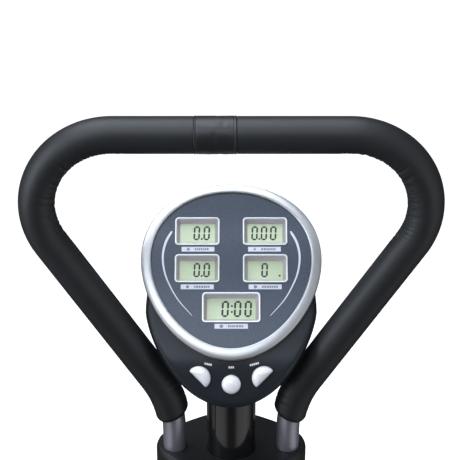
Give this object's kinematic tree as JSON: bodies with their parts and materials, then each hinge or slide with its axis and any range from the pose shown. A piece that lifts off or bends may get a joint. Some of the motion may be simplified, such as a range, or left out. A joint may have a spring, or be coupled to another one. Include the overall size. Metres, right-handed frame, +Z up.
{
  "type": "elliptical trainer",
  "caption": "Upright elliptical trainer with a foam-covered loop handlebar, a tilted round console, swinging arms and foot plates driven by a crank and flywheel.",
  "frame": {"origin": "on the floor, below the middle of the whole machine's box", "axes": "+Z up, +Y towards the front of the machine, the way the user faces, +X to the user's right"},
  "size_m": [0.622, 1.172, 1.5461],
  "materials": {
    "frame_steel": "black gloss powder coat",
    "mast_steel": "high gloss black enamel",
    "tube_silver": "satin silver-grey enamel",
    "bright_steel": "zinc plated",
    "foam": "closed-cell foam sleeve, soft matt skin",
    "foam_wrap": "heat-shrunk vinyl wrap over the foam joint",
    "cover_plastic": "fine-grained black moulding",
    "console_plastic": "satin charcoal moulding",
    "rim_silver": "silver lacquer",
    "face_blue": "printed blue-grey overlay with a fine speckle",
    "window_silver": "silver lacquer",
    "lcd": "grey-green liquid crystal",
    "board_green": "solder mask",
    "cell": "plastic sleeve",
    "pearl": "pearl silver lacquer",
    "sole": "soft moulded sole",
    "tread": "ribbed anti-slip moulding",
    "cast": "machined rim, cast web",
    "crank_black": "black satin powder coat",
    "belt": "ribbed drive belt",
    "nylon": "self-lubricating plastic",
    "sheath": "cable sheath"
  },
  "bodies": {
    "frame": {"main_frame": "frame_steel", "front_stabilizer": "frame_steel", "rear_stabilizer": "frame_steel", "frame_bolts": "bright_steel", "front_caps": "sole", "mast": "mast_steel", "swing_axle": "bright_steel", "swing_bushes": "nylon", "axle_end_caps": "cover_plastic", "handlebar_bracket": "frame_steel", "handlebar_tube": "tube_silver", "foam_left": "foam", "foam_right": "foam", "foam_joint_sleeve": "foam_wrap", "shroud_front": "cover_plastic", "shroud_rear": "cover_plastic", "cover_screws": "bright_steel", "console_housing": "console_plastic", "console_back": "console_plastic", "console_rim": "rim_silver", "console_faceplate": "face_blue", "window_frames": "window_silver", "lcd_panels": "lcd", "circuit_boards": "board_green", "batteries": "cell", "knob_base": "cover_plastic", "tension_cable": "sheath", "speed_sensor": "cover_plastic", "drive_housing_left": "cover_plastic", "drive_housing_right": "cover_plastic", "axle_bearings": "bright_steel", "drive_belt": "belt", "flywheel_axle": "bright_steel"},
    "crank": {"crank_axle": "bright_steel", "crank_arm_left": "crank_black", "crank_arm_right": "crank_black", "pedal_spindles": "bright_steel", "drive_pulley": "nylon"},
    "left_pedal": {"pedal_arm_left": "frame_steel", "foot_plate_left": "tread"},
    "right_pedal": {"pedal_arm_right": "frame_steel", "foot_plate_right": "tread"},
    "left_swing": {"swing_arm_left": "frame_steel", "handle_left": "frame_steel", "grip_left": "foam"},
    "right_swing": {"swing_arm_right": "frame_steel", "handle_right": "frame_steel", "grip_right": "foam"},
    "flywheel": {"flywheel": "cast"},
    "idler": {"idler_pulley": "nylon"},
    "brake": {"magnet_bracket": "frame_steel"},
    "knob": {"tension_knob": "console_plastic"},
    "left_wheel": {"transport_wheel_left": "nylon"},
    "right_wheel": {"transport_wheel_right": "nylon"},
    "left_foot": {"rear_cap_left": "sole"},
    "right_foot": {"rear_cap_right": "sole"},
    "mode": {"mode_button": "pearl"},
    "set": {"set_button": "pearl"},
    "reset": {"reset_button": "pearl"},
    "door": {"battery_door": "console_plastic"}
  },
  "joints": [
    {"name": "crank_turn", "type": "hinge", "parent": "frame", "child": "crank", "pos_m": [0, -0.25, 0.27], "axis": [-1, 0, 0], "range_deg": [0, 180]},
    {"name": "left_pedal_pivot", "type": "hinge", "parent": "crank", "child": "left_pedal", "pos_m": [0, -0.11, 0.27], "axis": [-1, 0, 0], "range_deg": [-180, 0]},
    {"name": "right_pedal_pivot", "type": "hinge", "parent": "crank", "child": "right_pedal", "pos_m": [0, -0.39, 0.27], "axis": [-1, 0, 0], "range_deg": [-180, 0]},
    {"name": "left_swing_pivot", "type": "hinge", "parent": "frame", "child": "left_swing", "pos_m": [0, 0.29881, 0.83], "axis": [-1, 0, 0], "range_deg": [0, 27.15]},
    {"name": "right_swing_pivot", "type": "hinge", "parent": "frame", "child": "right_swing", "pos_m": [0, 0.29881, 0.83], "axis": [-1, 0, 0], "range_deg": [-27.15, 0]},
    {"name": "flywheel_spin", "type": "hinge", "parent": "frame", "child": "flywheel", "pos_m": [0, 0.01, 0.245], "axis": [-1, 0, 0], "continuous": true},
    {"name": "idler_spin", "type": "hinge", "parent": "frame", "child": "idler", "pos_m": [0, -0.09369, 0.16892], "axis": [-1, 0, 0], "continuous": true},
    {"name": "tension_turn", "type": "hinge", "parent": "frame", "child": "knob", "pos_m": [0, 0.23812, 0.97443], "axis": [0, -0.9903, -0.1392], "range_deg": [0, 270]},
    {"name": "brake_swing", "type": "hinge", "parent": "frame", "child": "brake", "pos_m": [0, 0.138, 0.157], "axis": [-1, 0, 0], "range_deg": [0, 8.2]},
    {"name": "left_wheel_spin", "type": "hinge", "parent": "frame", "child": "left_wheel", "pos_m": [0, 0.564, 0.029], "axis": [1, 0, 0], "continuous": true},
    {"name": "right_wheel_spin", "type": "hinge", "parent": "frame", "child": "right_wheel", "pos_m": [0, 0.564, 0.029], "axis": [1, 0, 0], "continuous": true},
    {"name": "left_leveller_turn", "type": "hinge", "parent": "frame", "child": "left_foot", "pos_m": [0, -0.552, 0.038], "axis": [1, 0, 0], "range_deg": [0, 180]},
    {"name": "right_leveller_turn", "type": "hinge", "parent": "frame", "child": "right_foot", "pos_m": [0, -0.552, 0.038], "axis": [1, 0, 0], "range_deg": [0, 180]},
    {"name": "battery_door_swing", "type": "hinge", "parent": "frame", "child": "door", "pos_m": [0, 0.32178, 1.36582], "axis": [1, 0, 0], "range_deg": [0, 90]},
    {"name": "mode_press", "type": "slide", "parent": "frame", "child": "mode", "axis": [0, 0.9397, -0.342], "range_m": [0, 0.0012], "stiffness_N_per_m": 400, "springref_m": -0.0005},
    {"name": "set_press", "type": "slide", "parent": "frame", "child": "set", "axis": [0, 0.9397, -0.342], "range_m": [0, 0.0012], "stiffness_N_per_m": 400, "springref_m": -0.0005},
    {"name": "reset_press", "type": "slide", "parent": "frame", "child": "reset", "axis": [0, 0.9397, -0.342], "range_m": [0, 0.0012], "stiffness_N_per_m": 400, "springref_m": -0.0005}
  ],
  "couplings": [
    {"joint": "left_pedal_pivot", "follows": "crank_turn", "ratio": -1},
    {"joint": "right_pedal_pivot", "follows": "crank_turn", "ratio": -1},
    {"joint": "left_swing_pivot", "follows": "crank_turn", "ratio": 0.15078},
    {"joint": "right_swing_pivot", "follows": "crank_turn", "ratio": -0.15078},
    {"joint": "flywheel_spin", "follows": "crank_turn", "ratio": 5.4545},
    {"joint": "idler_spin", "follows": "crank_turn", "ratio": -6.6667},
    {"joint": "brake_swing", "follows": "tension_turn", "ratio": 0.03}
  ]
}
